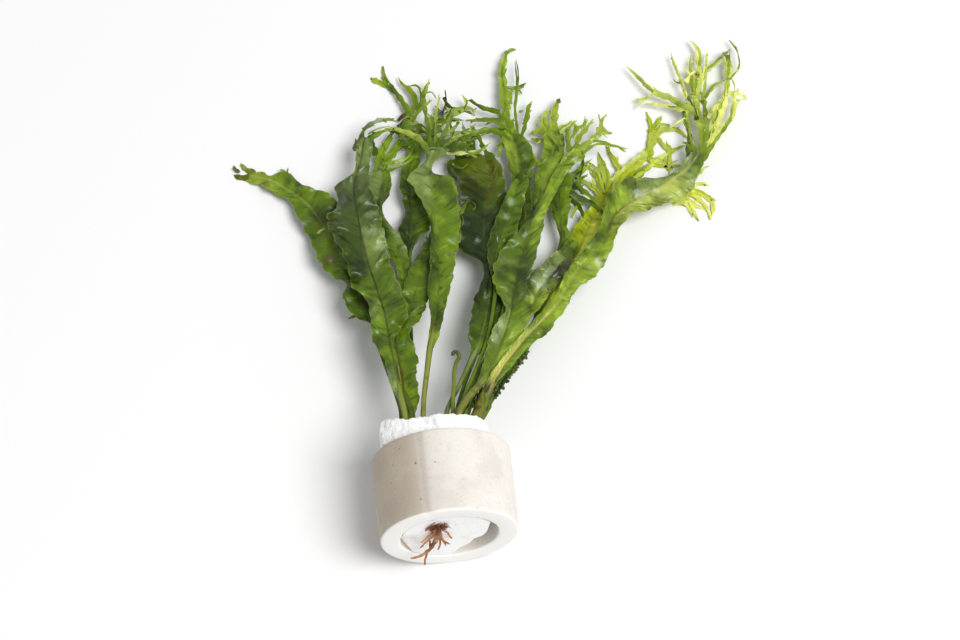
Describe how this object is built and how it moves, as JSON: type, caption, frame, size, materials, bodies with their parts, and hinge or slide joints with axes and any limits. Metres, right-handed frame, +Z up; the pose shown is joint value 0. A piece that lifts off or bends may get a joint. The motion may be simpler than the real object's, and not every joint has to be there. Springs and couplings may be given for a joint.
{
  "type": "java fern",
  "caption": "Crested java fern: ruffled, feathery-tipped fronds growing from foam in a ceramic planting ring, lying on its side.",
  "frame": {"origin": "on the surface it lies on, under the middle of the whole object's box", "axes": "+Z up from the surface, +Y along the ring's axis from its foot towards the fronds' tips"},
  "size_m": [0.1666, 0.1802, 0.0399],
  "materials": {
    "ceramic": "unglazed, matt, with fine specks",
    "foam": "white open-celled foam with a torn edge",
    "root": "matt brown, hairy",
    "young_stem": "smooth and slightly glossy",
    "leaf": "wet leaf sheen over ribbed green",
    "yellow_leaf": "thin yellow-green leaf, slightly glossy",
    "dark_leaf": "dark green leaf, slightly glossy",
    "grey_leaf": "grey-green leaf with a wet sheen"
  },
  "bodies": {
    "root": {"ceramic_ring": "ceramic", "foam_wrap": "foam", "rhizome_with_roots": "root", "crozier": "young_stem", "frond_far_left": "leaf", "frond_under_right": "yellow_leaf", "frond_dark_centre": "dark_leaf", "frond_tall_left": "leaf", "frond_yellow": "yellow_leaf", "frond_hanging": "dark_leaf", "frond_feathered": "leaf", "frond_crumpled": "grey_leaf", "frond_dark_right": "dark_leaf", "frond_plume": "leaf", "frond_glossy": "dark_leaf", "frond_spore": "dark_leaf", "frond_short_bright": "leaf", "frond_broad_left": "grey_leaf", "frond_broad_right": "leaf", "frond_centre": "leaf", "frond_long_right": "leaf"}
  },
  "joints": []
}
